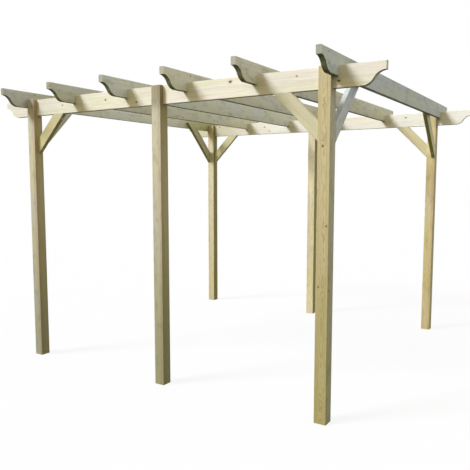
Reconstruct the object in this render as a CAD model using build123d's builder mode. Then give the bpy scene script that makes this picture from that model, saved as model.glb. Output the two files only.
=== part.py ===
"""Free-standing timber pergola.

Two rows of three rebated posts carry a beam each, and notched rafters cross both beams.
Knee braces stiffen the four corner posts, along the beams and along the outer rafters.
Millimetres, +Z up, X along the beams, origin on the ground under the middle of the frame.
"""
import os
from math import sqrt

from build123d import *

os.makedirs("parts", exist_ok=True)

# Frame, over the outer faces of the corner posts
frame_width = 3000.0
frame_depth = 3000.0

# Square posts with eased arrises, rebated behind a tongue at the top, the middle two off the centre line
post_side = 90.0
post_height = 2400.0
post_arris = 4.0
middle_post_shift = 40.0
post_tongue = 38.0

# Beams, planks on edge that sit in the rebates at the post tops
beam_depth = 145.0
beam_thickness = 38.0
beam_overhang = 345.0
beam_arris = 3.0

# Rafters, planks on edge that are notched over the beams
rafter_count = 6
rafter_depth = 145.0
rafter_thickness = 38.0
rafter_overhang = 245.0
rafter_arris = 3.0
notch_depth = 70.0
notch_clearance = 0.5

# Ogee scroll on the ends of beams and rafters
scroll_face = 55.0
scroll_length = 157.0

# Knee braces, set at 45 degrees
brace_width = 95.0
brace_thickness = 38.0
brace_run = 350.0
brace_arris = 3.0

# How far a cutting shape runs past the wood
overrun = 5.0

# Levels and faces that follow from the sizes above
beam_top = post_height
beam_bottom = beam_top - beam_depth
rafter_bottom = beam_top - notch_depth
rafter_top = rafter_bottom + rafter_depth
post_x = frame_width / 2 - post_side / 2
post_y = frame_depth / 2 - post_side / 2
tongue_to_beam = post_tongue - post_side / 2 + beam_thickness / 2
beam_length = frame_width + 2 * beam_overhang
rafter_length = frame_depth + 2 * rafter_overhang
rafter_x = frame_width / 2 + rafter_thickness / 2
rafter_pitch = 2 * rafter_x / (rafter_count - 1)

# The rows run along X and the columns along Y
row_y = {"front": -post_y, "back": post_y}
column_x = {"left": -post_x, "middle": middle_post_shift, "right": post_x}
beam_y = {row: y + tongue_to_beam for row, y in row_y.items()}


def make_post(label, x, y):
    """A square post whose rear side is rebated at the top, which leaves a tongue before the beam."""
    with BuildPart() as post:
        with BuildSketch(Plane(origin=(x, y, 0))):
            RectangleRounded(post_side, post_side, post_arris)
        extrude(amount=post_height)
        tongue_back = y - post_side / 2 + post_tongue
        with BuildSketch(Plane.YZ.offset(x)):
            with Locations((tongue_back, beam_bottom)):
                Rectangle(post_side - post_tongue + overrun, beam_depth + overrun, align=Align.MIN)
        extrude(amount=post_side, both=True, mode=Mode.SUBTRACT)
    post.part.label = label
    export_step(post.part, f"parts/{label}.step")


def make_scrolled_plank(label, elevation, length, depth, thickness, arris, notch_places):
    """A plank on edge with an ogee scroll on both ends, notched from below at each notch place.

    The elevation plane lies in the middle of the plank's thickness, its origin halfway along the
    top edge, its x axis along the plank and its y axis upwards.
    """
    with BuildPart() as plank:
        start = elevation.from_local_coords((-length / 2, -depth / 2))
        with BuildSketch(Plane(origin=start, x_dir=elevation.z_dir, z_dir=elevation.x_dir)):
            RectangleRounded(thickness, depth, arris)
        extrude(amount=length)

        # The scroll leaves an upright face at the tip, then a hollow that swings into a round
        tip = length / 2
        foot = tip - scroll_length
        swing = (tip - scroll_length / 2, -(scroll_face + depth) / 2)
        with BuildSketch(elevation):
            with BuildLine():
                hollow = TangentArc((tip, -scroll_face), swing, tangent=(-1, 0))
                TangentArc(swing, (foot, -depth), tangent=hollow % 1)
                Polyline(
                    (foot, -depth),
                    (foot, -depth - overrun),
                    (tip + overrun, -depth - overrun),
                    (tip + overrun, -scroll_face),
                    (tip, -scroll_face),
                )
            make_face()
            mirror(about=Plane.YZ)
        extrude(amount=thickness, both=True, mode=Mode.SUBTRACT)

        if notch_places:
            with BuildSketch(elevation):
                with Locations([(place, -depth) for place in notch_places]):
                    Rectangle(beam_thickness + 2 * notch_clearance, 2 * notch_depth)
            extrude(amount=thickness, both=True, mode=Mode.SUBTRACT)
    plank.part.label = label
    export_step(plank.part, f"parts/{label}.step")


def make_brace(label, corner, reach):
    """A knee brace across a corner: mitred to the upright below and cut level above.

    The corner plane lies in the middle of the brace's thickness, its origin in the corner, its
    x axis away from the post and its y axis upwards.
    """
    mitre = brace_width * sqrt(2)
    with BuildPart() as brace:
        with BuildSketch(corner):
            with BuildLine():
                Polyline((0, -reach), (reach, 0), (reach - mitre, 0), (0, mitre - reach), close=True)
            make_face()
        extrude(amount=brace_thickness / 2, both=True)
        slope = Axis(corner.origin, corner.x_dir + corner.y_dir)
        fillet(brace.edges().filter_by(slope), brace_arris)
    brace.part.label = label
    export_step(brace.part, f"parts/{label}.step")


# Posts, three to a row
for row, y in row_y.items():
    for column, x in column_x.items():
        make_post(f"post_{row}_{column}", x, y)

# Beams, one along each row
for row, y in beam_y.items():
    face = Plane(origin=(0, y, beam_top), x_dir=(1, 0, 0), z_dir=(0, -1, 0))
    make_scrolled_plank(f"beam_{row}", face, beam_length, beam_depth, beam_thickness, beam_arris, [])

# Rafters, numbered from the left, the outer two against the outer faces of the corner posts
for number in range(rafter_count):
    x = -rafter_x + number * rafter_pitch
    face = Plane(origin=(x, 0, rafter_top), x_dir=(0, 1, 0), z_dir=(1, 0, 0))
    make_scrolled_plank(
        f"rafter_{number + 1}",
        face,
        rafter_length,
        rafter_depth,
        rafter_thickness,
        rafter_arris,
        list(beam_y.values()),
    )

# Braces at the corner posts: one under the beam, one against the inner face of the outer rafter
for row, inward_y in {"front": 1, "back": -1}.items():
    for column, inward_x in {"left": 1, "right": -1}.items():
        inner_side = column_x[column] + inward_x * post_side / 2
        outer_side = column_x[column] - inward_x * post_side / 2
        inner_face = row_y[row] + inward_y * post_side / 2
        under_beam = Plane(
            origin=(inner_side, beam_y[row], beam_bottom),
            x_dir=(inward_x, 0, 0),
            z_dir=(0, -inward_x, 0),
        )
        make_brace(f"brace_beam_{row}_{column}", under_beam, brace_run)
        beside_rafter = Plane(
            origin=(outer_side + inward_x * brace_thickness / 2, inner_face, beam_top),
            x_dir=(0, inward_y, 0),
            z_dir=(inward_y, 0, 0),
        )
        make_brace(f"brace_rafter_{row}_{column}", beside_rafter, brace_run + beam_depth)
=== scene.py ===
import math
import random

import bpy
from mathutils import Euler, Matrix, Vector


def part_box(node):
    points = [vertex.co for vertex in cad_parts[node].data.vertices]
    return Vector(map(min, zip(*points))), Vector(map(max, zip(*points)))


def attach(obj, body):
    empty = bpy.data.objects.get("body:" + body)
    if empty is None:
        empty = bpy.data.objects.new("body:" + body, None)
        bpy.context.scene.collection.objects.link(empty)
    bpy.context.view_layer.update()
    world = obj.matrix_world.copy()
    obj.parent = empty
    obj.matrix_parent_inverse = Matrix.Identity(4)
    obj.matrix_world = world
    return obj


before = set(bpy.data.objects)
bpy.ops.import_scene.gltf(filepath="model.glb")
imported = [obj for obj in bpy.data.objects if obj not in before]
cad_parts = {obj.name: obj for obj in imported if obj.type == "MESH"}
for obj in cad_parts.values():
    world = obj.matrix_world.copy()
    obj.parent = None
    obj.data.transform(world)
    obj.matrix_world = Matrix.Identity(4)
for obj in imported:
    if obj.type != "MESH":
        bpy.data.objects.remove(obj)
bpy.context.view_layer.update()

# Posts
# Six square posts of planed softwood, sawn round the heart of the log or beside it, with a rebate at
# the top that takes the beam. Pressure treatment left them tan and olive, their sides differ in colour
# partly as painted shade, and their feet are darker from damp and from painted shade.


def node_tools(tree):
    """Empties a node tree and returns what adds a node, does sums, fades a value and mixes colours."""
    tree.nodes.clear()

    def add(kind, sockets=None, **settings):
        node = tree.nodes.new(f"ShaderNode{kind}")
        for setting, value in settings.items():
            setattr(node, setting, value)
        for socket, value in (sockets or {}).items():
            if isinstance(value, bpy.types.NodeSocket):
                tree.links.new(value, node.inputs[socket])
            else:
                node.inputs[socket].default_value = value
        return node

    def work(operation, *values):
        return add("Math", dict(enumerate(values)), operation=operation).outputs[0]

    def vector(operation, *values):
        node = add("VectorMath", dict(enumerate(values)), operation=operation)
        return node.outputs["Value" if operation in ("LENGTH", "DOT_PRODUCT") else "Vector"]

    def fade(value, start, end, low=0.0, high=1.0):
        sockets = {"Value": value, "From Min": start, "From Max": end, "To Min": low, "To Max": high}
        return add("MapRange", sockets, interpolation_type="SMOOTHSTEP").outputs["Result"]

    def mix(blend, share, under, over):
        sockets = {0: share, 6: under, 7: over}
        return add("Mix", sockets, data_type="RGBA", blend_type=blend).outputs[2]

    return add, work, vector, fade, mix


def opaque(colour):
    return (*colour, 1.0)


def treated_pine(name, place, turn, tone, heart, seed, knots, grain, weather, foot=None, ends=None):
    """Solid pressure-treated pine: rings round the heart of the log, drawn out along the timber.

    Place and turn set the timber's own axes, z along it. Heart is where the log's heart passes, knots
    are (place, radii) in those axes, and tone is the colour of the pale early wood. Grain holds the
    ring width, how dark the late wood is, and how far the heart strays slowly and quickly. Weather
    holds the grey that the wood turns to, its share, and the one side that it covers or None; where a
    side is given, the other sides keep the darker tone, partly as painted shade. Foot holds the colour
    that damp and painted shade give the foot of a post and the share of a darkening round its top. Ends
    holds the tints of a plank's two ends, the one at its lowest z first.
    """
    finish = bpy.data.materials.new(name)
    finish.use_nodes = True
    add, work, vector, fade, mix = node_tools(finish.node_tree)
    ring, late_share, wander, swirl = grain
    grey, grey_share, grey_side = weather
    coords = add("TexCoord")
    sockets = {"Vector": coords.outputs["Object"], "Location": place, "Rotation": turn}
    local = add("Mapping", sockets, vector_type="TEXTURE").outputs["Vector"]

    def noise(stretch, shift, detail, rough=0.5):
        spot = vector("MULTIPLY", local, stretch)
        sockets = {"Vector": spot, "W": seed + shift, "Scale": 1.0, "Detail": detail, "Roughness": rough}
        return add("TexNoise", sockets, noise_dimensions="4D").outputs

    # Knots, the nearest one with its edge at 1, roughened
    nearest = None
    if knots:
        nearest = 9.0
        for knot_place, radii in knots:
            sockets = {"Vector": local, "Location": knot_place, "Scale": radii}
            inside = add("Mapping", sockets, vector_type="TEXTURE").outputs["Vector"]
            nearest = work("MINIMUM", vector("LENGTH", inside), nearest)
        ragged = noise((90.0, 90.0, 60.0), 11.0, 2.0)["Fac"]
        nearest = work("MULTIPLY", nearest, work("MULTIPLY_ADD", ragged, 0.9, 0.55))

    # Rings, the heart straying as the tree grew, the grain swelling round a knot
    across = vector("SUBTRACT", local, heart)
    for stretch, shift, reach in (((4.0, 4.0, 2.2), 0.0, wander), ((26.0, 26.0, 11.0), 30.0, swirl)):
        stray = vector("SUBTRACT", noise(stretch, shift, 2.0)["Color"], (0.5, 0.5, 0.5))
        across = vector("ADD", across, vector("MULTIPLY", stray, (2.0 * reach, 2.0 * reach, 0.0)))
    radius = vector("LENGTH", vector("MULTIPLY", across, (1.0, 1.0, 0.0)))
    phase = work("DIVIDE", radius, ring)
    if knots:
        phase = work("ADD", phase, fade(nearest, 3.6, 0.3, 0.0, 2.4))
    year = add("TexWhiteNoise", {"W": work("FLOOR", phase)}, noise_dimensions="1D").outputs["Value"]
    season = add("ValToRGB", {"Fac": work("FRACT", phase)})
    stops = season.color_ramp
    stops.elements[0].color = opaque((0.0, 0.0, 0.0))
    stops.elements[1].color = opaque((0.0, 0.0, 0.0))
    for share, dark in ((0.45, 0.08), (0.78, 0.9), (0.90, 1.0)):
        stops.elements.new(share).color = opaque((dark, dark, dark))
    late = work("MULTIPLY", season.outputs["Color"], work("MULTIPLY_ADD", year, 0.7, 0.3))

    # Colour of early and late wood
    brown = tuple(c * share for c, share in zip(tone, (0.60, 0.50, 0.38)))
    colour = mix("MIX", work("MULTIPLY", late, late_share), opaque(tone), opaque(brown))

    # Grey weathering, mottled, bluer or more olive from place to place
    mottle = noise((22.0, 22.0, 9.0), 17.0, 5.0, 0.62)["Fac"]
    greyed = fade(mottle, 0.30, 0.68, 0.72, 1.0)
    # On a post the grey covers the given side only, so its other sides keep the darker tone, partly painted
    # shade
    if grey_side:
        turned = vector("DOT_PRODUCT", coords.outputs["Normal"], grey_side)
        greyed = work("MULTIPLY", greyed, fade(turned, 0.1, 0.8))
    hue = noise((6.0, 6.0, 2.0), 27.0, 2.0)["Fac"]
    bluish = tuple(c * share for c, share in zip(grey, (0.99, 1.0, 1.02)))
    olive = tuple(c * share for c, share in zip(grey, (1.01, 1.0, 0.84)))
    shade = mix("MIX", fade(hue, 0.38, 0.62), opaque(bluish), opaque(olive))
    shade = mix("MULTIPLY", fade(mottle, 0.46, 0.68), shade, opaque((0.72, 0.73, 0.70)))
    colour = mix("MIX", work("MULTIPLY", greyed, grey_share), colour, shade)

    # A plank's two ends are tinted apart from its middle, each end its own way
    if ends:
        length = add("SeparateXYZ", {"Vector": local}).outputs["Z"]
        for side, tint in zip((-1, 1), ends):
            colour = mix("MULTIPLY", fade(length, 0.5 * side, 1.4 * side), colour, opaque(tint))

    # Rosy wood close to the heart, where a face comes that near to it
    colour = mix("MULTIPLY", fade(radius, 0.036, 0.012, 0.0, 0.6), colour, opaque((0.90, 0.77, 0.74)))

    # Long olive and rosy stripes, where sapwood and heartwood took the treatment differently, paler on
    # timber that is grey all round
    stripe = noise((15.0, 15.0, 0.9), 3.0, 3.0)["Fac"]
    strong = 0.7 if grey_side else 0.7 - 0.5 * grey_share
    colour = mix("MULTIPLY", fade(stripe, 0.48, 0.64, 0.0, strong), colour, opaque((0.93, 0.95, 0.80)))
    colour = mix("MULTIPLY", fade(stripe, 0.48, 0.34, 0.0, strong), colour, opaque((1.0, 0.90, 0.84)))

    # Streaks and fibres along the grain, drying checks, and rain marks that run across it
    streak = noise((70.0, 70.0, 1.8), 8.0, 3.0)["Fac"]
    colour = mix("MULTIPLY", fade(streak, 0.45, 0.75, 0.0, 0.5), colour, opaque((0.80, 0.77, 0.69)))
    fibre = noise((520.0, 520.0, 9.0), 5.0, 2.0)["Fac"]
    colour = mix("MULTIPLY", fade(fibre, 0.35, 0.75, 0.0, 0.3), colour, opaque((0.72, 0.68, 0.58)))
    check = fade(noise((190.0, 190.0, 2.6), 14.0, 1.0)["Fac"], 0.74, 0.80)
    colour = mix("MIX", work("MULTIPLY", check, 0.45), colour, opaque((0.12, 0.09, 0.05)))
    mark = noise((34.0, 16.0, 44.0), 25.0, 5.0, 0.65)["Fac"]
    mark = fade(mark, 0.58, 0.74, 0.0, 0.6 * grey_share)
    colour = mix("MULTIPLY", mark, colour, opaque((0.60, 0.60, 0.58)))

    # Knots, a resin stain round a dark rim and a brown core
    core = 0.0
    if knots:
        halo = fade(nearest, 2.6, 0.9, 0.0, 0.5)
        colour = mix("MULTIPLY", halo, colour, opaque((0.84, 0.72, 0.55)))
        core = fade(nearest, 1.10, 0.82)
        rim = fade(work("ABSOLUTE", work("SUBTRACT", nearest, 0.92)), 0.25, 0.0)
        middle = mix("MIX", rim, opaque((0.14, 0.085, 0.045)), opaque((0.04, 0.027, 0.015)))
        colour = mix("MIX", work("MULTIPLY", core, 0.9), colour, middle)

    # Sawn ends drink more of the treatment
    along = Euler(turn).to_matrix() @ Vector((0.0, 0.0, 1.0))
    facing = work("ABSOLUTE", vector("DOT_PRODUCT", coords.outputs["Normal"], along))
    sawn = fade(facing, 0.25, 0.85)
    colour = mix("MULTIPLY", work("MULTIPLY", sawn, 0.8), colour, opaque((0.66, 0.68, 0.64)))

    # Undersides are painted with shade, darkest on faces that point straight down, and upward faces are
    # darker
    upward = add("SeparateXYZ", {"Vector": coords.outputs["Normal"]}).outputs["Z"]
    colour = mix("MULTIPLY", fade(upward, -0.2, -0.7), colour, opaque((0.72, 0.75, 0.54)))
    colour = mix("MULTIPLY", fade(upward, -0.75, -0.97), colour, opaque((0.36, 0.33, 0.25)))
    colour = mix("MULTIPLY", fade(upward, 0.75, 0.95), colour, opaque((0.68, 0.68, 0.66)))

    # Darker towards the foot, from damp and from painted shade near the ground, and darker round the top
    if foot:
        damp_and_shade, top_darkening = foot
        level = add("SeparateXYZ", {"Vector": coords.outputs["Object"]}).outputs["Z"]
        ragged = noise((9.0, 9.0, 2.0), 21.0, 3.0)["Fac"]
        level = work("ADD", level, work("MULTIPLY", ragged, 0.3))
        colour = mix("MULTIPLY", fade(level, 2.2, 0.2), colour, opaque(damp_and_shade))
        colour = mix("MULTIPLY", fade(level, 2.34, 2.46, 0.0, top_darkening), colour, opaque((0.60, 0.58, 0.56)))

    height = work("ADD", work("MULTIPLY", late, 0.5), work("MULTIPLY", fibre, 0.7))
    height = work("SUBTRACT", height, work("ADD", check, work("MULTIPLY", core, 0.3)))
    bump = add("Bump", {"Strength": 0.4, "Distance": 0.0012, "Height": height})
    sockets = {
        "Base Color": colour,
        "Roughness": fade(late, 0.0, 1.0, 0.76, 0.62),
        "Specular IOR Level": 0.25,
        "Normal": bump.outputs["Normal"],
    }
    shader = add("BsdfPrincipled", sockets)
    add("OutputMaterial", {"Surface": shader.outputs["BSDF"]})
    return finish


def dress(node, finish):
    """Gives a timber its finish."""
    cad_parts[node].material_slots[0].material = finish


# Each post's heart, tone, weathering, foot, and the knots of its front as (across, level, radius)
front_side = (0.0, -1.0, 0.0)
right_side = (1.0, 0.0, 0.0)
# A post's tone is the colour of the sides that its grey leaves, partly painted shade
posts = {
    "front_left": (
        (0.034, -0.036, 0.0),
        (0.50, 0.44, 0.24),
        ((0.665, 0.645, 0.56), 0.93, front_side),
        ((0.57, 0.61, 0.56), 0.12),
        [],
    ),
    "front_middle": (
        (0.038, -0.038, 0.0),
        (0.49, 0.44, 0.24),
        ((0.675, 0.64, 0.535), 0.91, front_side),
        ((0.54, 0.57, 0.48), 0.9),
        [],
    ),
    "front_right": (
        (0.004, 0.008, 0.0),
        (0.61, 0.53, 0.32),
        ((0.44, 0.44, 0.38), 0.8, right_side),
        ((0.72, 0.73, 0.56), 0.0),
        [(-0.006, 1.886, 0.007), (0.026, 1.361, 0.006), (-0.024, 0.950, 0.005)],
    ),
    "back_left": (
        (-0.036, -0.030, 0.0),
        (0.32, 0.275, 0.12),
        ((0.86, 0.79, 0.58), 0.95, front_side),
        ((0.86, 0.85, 0.76), 0.5),
        [],
    ),
    "back_middle": (
        (-0.042, -0.030, 0.0),
        (0.32, 0.275, 0.10),
        ((0.96, 0.88, 0.69), 0.97, front_side),
        ((0.97, 0.97, 0.94), 0.0),
        [],
    ),
    "back_right": (
        (0.042, -0.034, 0.0),
        (0.47, 0.45, 0.28),
        ((0.86, 0.73, 0.46), 0.9, front_side),
        ((0.91, 0.91, 0.86), 0.4),
        [],
    ),
}
post_knot_depth = 0.05
post_knot_stretch = 1.3
draw = random.Random(11)
for number, (spot, (heart, tone, weather, foot, front_knots)) in enumerate(posts.items()):
    low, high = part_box(f"post_{spot}")
    middle = (low + high) / 2
    half = (high.x - low.x) / 2
    knots = []
    for across, level, reach in front_knots:
        radii = (reach, post_knot_depth, post_knot_stretch * reach)
        knots.append(((across, -half, level - middle.z), radii))
    for _ in range(4):
        reach = draw.uniform(0.003, 0.006)
        across = draw.uniform(-0.7, 0.7) * half
        level = draw.uniform(-0.45, 0.45) * (high.z - low.z)
        tall = post_knot_stretch * reach
        if draw.random() < 0.4:
            knots.append(((across, half, level), (reach, post_knot_depth, tall)))
        else:
            side = draw.choice((-1, 1)) * half
            knots.append(((side, across, level), (post_knot_depth, reach, tall)))
    late_share = 0.75 if front_knots else 0.4
    grain = (0.0048, late_share, 0.014, 0.008)
    finish = treated_pine(
        f"post_{spot}", middle, (0, 0, 0), tone, heart, 10.0 * number, knots, grain, weather, foot
    )
    dress(f"post_{spot}", finish)

# Beams
# Two planks on edge of the palest, cleanest pine, one along each row, let into the post tops and
# screwed to their tongues. An ogee is sawn on both ends.
beam_turn = (0, math.pi / 2, 0)
beam_knots = {
    "front": [
        (-1.069, 2.328, 0.005),
        (-0.538, 2.335, 0.007),
        (-0.194, 2.292, 0.006),
        (0.708, 2.369, 0.010),
        (1.237, 2.358, 0.005),
        (1.537, 2.300, 0.007),
    ],
    "back": [(-1.336, 2.378, 0.007), (-0.641, 2.343, 0.007), (-0.568, 2.289, 0.006), (1.164, 2.357, 0.007)],
}
beam_tones = {"front": (0.92, 0.885, 0.79), "back": (0.94, 0.92, 0.84)}
beam_ends = {
    "front": ((0.89, 0.92, 0.92), (0.94, 0.94, 0.94)),
    "back": ((0.74, 0.73, 0.62), (1.0, 1.02, 1.04)),
}
beam_heart = (0.012, 0.085, 0.0)
beam_grain = (0.0075, 0.16, 0.02, 0.004)
beam_weather = ((0.80, 0.76, 0.66), 0.1, None)
plank_knot_depth = 0.2
plank_knot_stretch = 1.4
for number, (row, places) in enumerate(beam_knots.items()):
    low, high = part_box(f"beam_{row}")
    middle = (low + high) / 2
    knots = []
    for along, level, reach in places:
        radii = (reach, plank_knot_depth, plank_knot_stretch * reach)
        knots.append(((middle.z - level, 0.0, along), radii))
    finish = treated_pine(
        f"beam_{row}",
        middle,
        beam_turn,
        beam_tones[row],
        beam_heart,
        100.0 + 10.0 * number,
        knots,
        beam_grain,
        beam_weather,
        ends=beam_ends[row],
    )
    dress(f"beam_{row}", finish)

# Rafters
# Six planks on edge, notched over both beams and screwed down from above, with the same ogee on both
# ends. Their faces weathered grey.
rafter_turn = (-math.pi / 2, 0, 0)
rafter_greys = [
    (0.86, 0.88, 0.83),
    (0.70, 0.70, 0.61),
    (0.72, 0.76, 0.74),
    (0.71, 0.71, 0.64),
    (0.68, 0.68, 0.59),
    (0.50, 0.57, 0.61),
]
rafter_grey_share = 0.8
rafter_tone = (0.62, 0.58, 0.42)
rafter_grain = (0.0075, 0.3, 0.02, 0.004)
rafter_ends = {
    1: ((0.70, 0.70, 0.70), (0.59, 0.58, 0.32)),
    2: ((0.84, 0.85, 0.90), (1.12, 1.10, 1.06)),
    3: ((0.95, 0.95, 0.95), (1.06, 1.05, 0.98)),
    4: ((1.0, 1.0, 1.0), (0.86, 0.84, 0.70)),
}
tail_knots = {5: [(-1.600, 2.385, 0.004), (-1.607, 2.412, 0.003)], 3: [(-1.640, 2.420, 0.003)]}
for number, grey in enumerate(rafter_greys, 1):
    low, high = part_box(f"rafter_{number}")
    middle = (low + high) / 2
    knots = []
    for _ in range(4):
        reach = draw.uniform(0.003, 0.006)
        along = draw.uniform(-0.48, 0.48) * (high.y - low.y)
        across = draw.uniform(-0.4, 0.4) * (high.z - low.z)
        knots.append(((0.0, across, along), (plank_knot_depth, reach, plank_knot_stretch * reach)))
    for along, level, reach in tail_knots.get(number, []):
        radii = (plank_knot_depth, reach, plank_knot_stretch * reach)
        knots.append(((0.0, middle.z - level, along), radii))
    heart = (0.085, draw.uniform(-0.02, 0.02), 0.0)
    finish = treated_pine(
        f"rafter_{number}",
        middle,
        rafter_turn,
        rafter_tone,
        heart,
        200.0 + 10.0 * number,
        knots,
        rafter_grain,
        (grey, rafter_grey_share, None),
        ends=rafter_ends.get(number),
    )
    dress(f"rafter_{number}", finish)

# Knee braces
# Eight short planks at 45 degrees: four mitred between corner post and beam, four between corner post
# and outer rafter, screwed at both ends.
lean = math.pi / 4
brace_tones = {
    "beam_front_left": (0.66, 0.59, 0.33),
    "beam_front_right": (0.65, 0.61, 0.41),
    "beam_back_left": (0.73, 0.70, 0.41),
    "beam_back_right": (0.75, 0.67, 0.39),
    "rafter_front_left": (0.62, 0.62, 0.50),
    "rafter_front_right": (0.62, 0.65, 0.67),
    "rafter_back_left": (0.54, 0.51, 0.26),
    "rafter_back_right": (0.68, 0.65, 0.40),
}
brace_weather = ((0.62, 0.62, 0.54), 0.25, None)
bleached_braces = {"rafter_front_right": ((0.53, 0.57, 0.63), 0.85, None)}
for number, (spot, tone) in enumerate(brace_tones.items()):
    partner, row, column = spot.split("_")
    if partner == "beam":
        turn = (0, lean if column == "left" else -lean, 0)
        heart = (0.02, 0.06, 0.0)
        late_share = 0.3
    else:
        turn = (-lean if row == "front" else lean, 0, 0)
        heart = (0.06, 0.02, 0.0)
        late_share = 0.55
    low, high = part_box(f"brace_{spot}")
    finish = treated_pine(
        f"brace_{spot}",
        (low + high) / 2,
        turn,
        tone,
        heart,
        300.0 + 10.0 * number,
        (),
        (0.0075, late_share, 0.012, 0.002),
        bleached_braces.get(spot, brace_weather),
    )
    dress(f"brace_{spot}", finish)

# Screws
# Zinc-plated timber screws with a low domed head and a six-lobed drive, driven where they show least:
# behind the beams, on top of the rafters, and on the lower edges and inner faces of the braces.
head_radius = 0.006
head_rise = 0.0014
head_sunk = 0.0005
rim_round = 0.0011
drive_margin = 0.0022
drive_depth = 0.0008
lobes = 6
lobe_pinch = 0.68


def choose(piece, kind, test):
    """Selects a mesh's vertices, edges or faces that pass a test and opens it for editing."""
    bpy.ops.object.mode_set(mode="EDIT")
    bpy.ops.mesh.select_mode(type=kind)
    bpy.ops.mesh.select_all(action="DESELECT")
    bpy.ops.object.mode_set(mode="OBJECT")
    mesh = piece.data
    for item in {"VERT": mesh.vertices, "EDGE": mesh.edges, "FACE": mesh.polygons}[kind]:
        item.select = test(item)
    bpy.ops.object.mode_set(mode="EDIT")


bpy.ops.object.select_all(action="DESELECT")
bpy.ops.mesh.primitive_cylinder_add(
    vertices=4 * lobes,
    radius=head_radius,
    depth=head_rise + head_sunk,
    location=(0.0, 0.0, (head_rise - head_sunk) / 2),
)
head = bpy.context.active_object
bpy.ops.object.transform_apply(location=True, rotation=False, scale=False)
top = head_rise - 1e-5


def on_top(face):
    return face.center.z > top


# The rim is rounded over, then the drive is inset, pinched between its lobes and sunk
rim_points = {point.index for point in head.data.vertices if point.co.z > top}
choose(head, "EDGE", lambda edge: set(edge.vertices) <= rim_points)
bpy.ops.mesh.bevel(offset=rim_round, segments=3)
choose(head, "FACE", on_top)
bpy.ops.mesh.inset(thickness=drive_margin)
choose(head, "FACE", on_top)
bpy.ops.object.mode_set(mode="OBJECT")
top_faces = [face for face in head.data.polygons if on_top(face)]
drive_face = min(top_faces, key=lambda face: face.center.xy.length)
drive_points = set(drive_face.vertices)
lobe_turn = 2 * math.pi / lobes


def between_lobes(point):
    share = math.atan2(point.co.y, point.co.x) / lobe_turn
    return point.index in drive_points and abs(share - round(share)) > 0.4


choose(head, "VERT", between_lobes)
bpy.ops.transform.resize(value=(lobe_pinch, lobe_pinch, 1.0), center_override=(0.0, 0.0, head_rise))
choose(head, "FACE", lambda face: set(face.vertices) == drive_points)
bpy.ops.mesh.extrude_region_move(TRANSFORM_OT_translate={"value": (0.0, 0.0, -drive_depth)})
bpy.ops.object.mode_set(mode="OBJECT")

zinc = bpy.data.materials.new("zinc_plate")
zinc.use_nodes = True
add, work, vector, fade, mix = node_tools(zinc.node_tree)
coords = add("TexCoord").outputs["Object"]
bloom = add("TexNoise", {"Vector": coords, "Scale": 700.0, "Detail": 3.0}).outputs["Fac"]
scratch = add("TexNoise", {"Vector": coords, "Scale": 2600.0, "Detail": 2.0}).outputs["Fac"]
colour = mix("MIX", fade(bloom, 0.40, 0.65), opaque((0.62, 0.60, 0.55)), opaque((0.46, 0.45, 0.43)))
bump = add("Bump", {"Strength": 0.2, "Distance": 0.0002, "Height": scratch})
sockets = {
    "Base Color": colour,
    "Metallic": 1.0,
    "Roughness": fade(bloom, 0.35, 0.70, 0.32, 0.55),
    "Normal": bump.outputs["Normal"],
}
shader = add("BsdfPrincipled", sockets)
add("OutputMaterial", {"Surface": shader.outputs["BSDF"]})
head.data.materials.append(zinc)

# Places and outward directions: two at each post, behind its beam, and one over each crossing
screw_places = {"screws_beam_front": [], "screws_beam_back": [], "screws_rafters": [], "screws_braces": []}
stagger_across = 0.018
stagger_up = 0.036
for row in ("front", "back"):
    low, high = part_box(f"beam_{row}")
    for column in ("left", "middle", "right"):
        post_low, post_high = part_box(f"post_{row}_{column}")
        centre = (post_low.x + post_high.x) / 2
        for step in (-1, 1):
            level = (low.z + high.z) / 2 + stagger_up * step
            spot = Vector((centre + stagger_across * step, high.y, level))
            screw_places[f"screws_beam_{row}"].append((spot, Vector((0.0, 1.0, 0.0))))
    for number in range(1, 7):
        rafter_low, rafter_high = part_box(f"rafter_{number}")
        spot = Vector(((rafter_low.x + rafter_high.x) / 2, (low.y + high.y) / 2, rafter_high.z))
        screw_places["screws_rafters"].append((spot, Vector((0.0, 0.0, 1.0))))

# A brace's lower edge runs from its foot on the post to its far end, at 45 degrees
beam_brace_shares = (0.12, 0.88)
rafter_brace_shares = (0.10,)
end_screw_backs = (0.070, 0.130)
end_screw_drop = 0.035
for spot in brace_tones:
    partner, row, column = spot.split("_")
    low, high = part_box(f"brace_{spot}")
    middle = (low + high) / 2
    if partner == "beam":
        inward = Vector((1.0 if column == "left" else -1.0, 0.0, 0.0))
    else:
        inward = Vector((0.0, 1.0 if row == "front" else -1.0, 0.0))
    run = high.z - low.z
    foot = middle - inward * run / 2
    foot.z = low.z
    slope = inward + Vector((0.0, 0.0, 1.0))
    outward = (inward - Vector((0.0, 0.0, 1.0))).normalized()
    for share in beam_brace_shares if partner == "beam" else rafter_brace_shares:
        screw_places["screws_braces"].append((foot + slope * run * share, outward))
    if partner == "rafter":
        into_frame = Vector((1.0 if column == "left" else -1.0, 0.0, 0.0))
        for back in end_screw_backs:
            end = middle + inward * (run / 2 - back) + into_frame * (high.x - low.x) / 2
            end.z = high.z - end_screw_drop
            screw_places["screws_braces"].append((end, into_frame))

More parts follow.
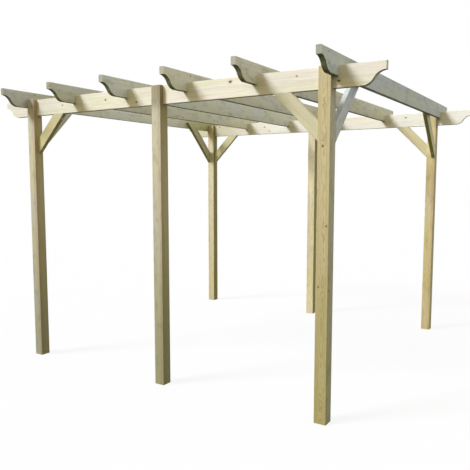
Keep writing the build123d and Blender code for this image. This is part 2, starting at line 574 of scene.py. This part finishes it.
for name, places in screw_places.items():
    copies = []
    for spot, outward in places:
        bpy.ops.object.select_all(action="DESELECT")
        head.select_set(True)
        bpy.context.view_layer.objects.active = head
        bpy.ops.object.duplicate()
        copy = bpy.context.active_object
        twist = Euler((0.0, 0.0, draw.uniform(0.0, lobe_turn))).to_quaternion()
        copy.rotation_euler = (outward.to_track_quat("Z", "Y") @ twist).to_euler()
        copy.location = spot
        copies.append(copy)
    for copy in copies:
        copy.select_set(True)
    bpy.ops.object.transform_apply(location=True, rotation=True, scale=True)
    bpy.ops.object.join()
    screws = bpy.context.active_object
    screws.name = name
    bpy.ops.object.shade_smooth_by_angle(angle=math.radians(35))
    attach(screws, "root")
bpy.data.objects.remove(head)

# Floor, light and camera
# A white floor and backdrop, a soft sun from the front left, and a sky that is brightest behind on the
# right. The camera stands where the picture was taken, at eye height.
floor_size = 120.0
floor_glow = 0.87


def seen_directly(add, work):
    """Tells rays that show a surface from those that light another one."""
    path = add("LightPath").outputs
    seen = work("MAXIMUM", path["Is Camera Ray"], path["Is Glossy Ray"])
    return work("MAXIMUM", seen, path["Is Transmission Ray"])


bpy.ops.object.select_all(action="DESELECT")
bpy.ops.mesh.primitive_plane_add(size=floor_size)
floor = bpy.context.active_object
floor.name = "floor"
finish = bpy.data.materials.new("white_floor")
finish.use_nodes = True
add, work, vector, fade, mix = node_tools(finish.node_tree)
seen = seen_directly(add, work)
ground = add("BsdfDiffuse", {"Color": opaque((0.040, 0.039, 0.013))})
paper = add("BsdfDiffuse", {"Color": opaque((0.085, 0.085, 0.085))})
glow = add("Emission", {"Color": opaque((1.0, 1.0, 1.0)), "Strength": floor_glow})
white = add("AddShader", {0: paper.outputs[0], 1: glow.outputs[0]})
both = add("MixShader", {0: seen, 1: ground.outputs[0], 2: white.outputs[0]})
add("OutputMaterial", {"Surface": both.outputs[0]})
floor.data.materials.append(finish)

world = bpy.data.worlds.new("studio")
bpy.context.scene.world = world
world.use_nodes = True
add, work, vector, fade, mix = node_tools(world.node_tree)
seen = seen_directly(add, work)
ray = add("TexCoord").outputs["Generated"]
bright_side = (1.45, 1.47, 1.50)
dim_side = (0.46, 0.33, 0.07)
sun_haze = (1.16, 1.03, 0.70)
overhead = (0.4, 0.4, 0.4)
right_back = vector("DOT_PRODUCT", ray, (0.45, 0.89, 0.0))
sky = mix("MIX", fade(right_back, 0.35, -0.35), opaque(bright_side), opaque(dim_side))
sunward = vector("DOT_PRODUCT", ray, (-0.60, -0.72, 0.35))
sky = mix("MIX", fade(sunward, 0.1, 0.95), sky, opaque(sun_haze))
height = add("SeparateXYZ", {"Vector": ray}).outputs["Z"]
sky = mix("MULTIPLY", fade(height, 0.35, 0.95), sky, opaque(overhead))
fill = add("Background", {"Color": sky})
backdrop = add("Background", {"Color": opaque((1.0, 1.0, 1.0))})
choice = add("MixShader", {0: seen, 1: fill.outputs[0], 2: backdrop.outputs[0]})
add("OutputWorld", {"Surface": choice.outputs[0]})

bpy.ops.object.light_add(type="SUN", location=(-4.0, -6.0, 7.0))
key = bpy.context.active_object
key.name = "key_light"
key.data.energy = 3.9
key.data.angle = math.radians(18)
key.data.color = (0.851, 0.888, 1.0)
key.rotation_euler = (math.radians(47.5), 0.0, math.radians(-40))

eye = (2.9360, -4.9295, 1.6639)
tilt_down = 0.0976
heading = 0.5630
picture_width_px = 470.0
focal_length_px = 559.9
bpy.ops.object.camera_add(location=eye)
camera = bpy.context.active_object
camera.rotation_euler = (math.pi / 2 - tilt_down, 0.0, heading)
camera.data.sensor_fit = "HORIZONTAL"
camera.data.lens = camera.data.sensor_width * focal_length_px / picture_width_px
bpy.context.scene.camera = camera
bpy.context.scene.view_settings.view_transform = "Standard"
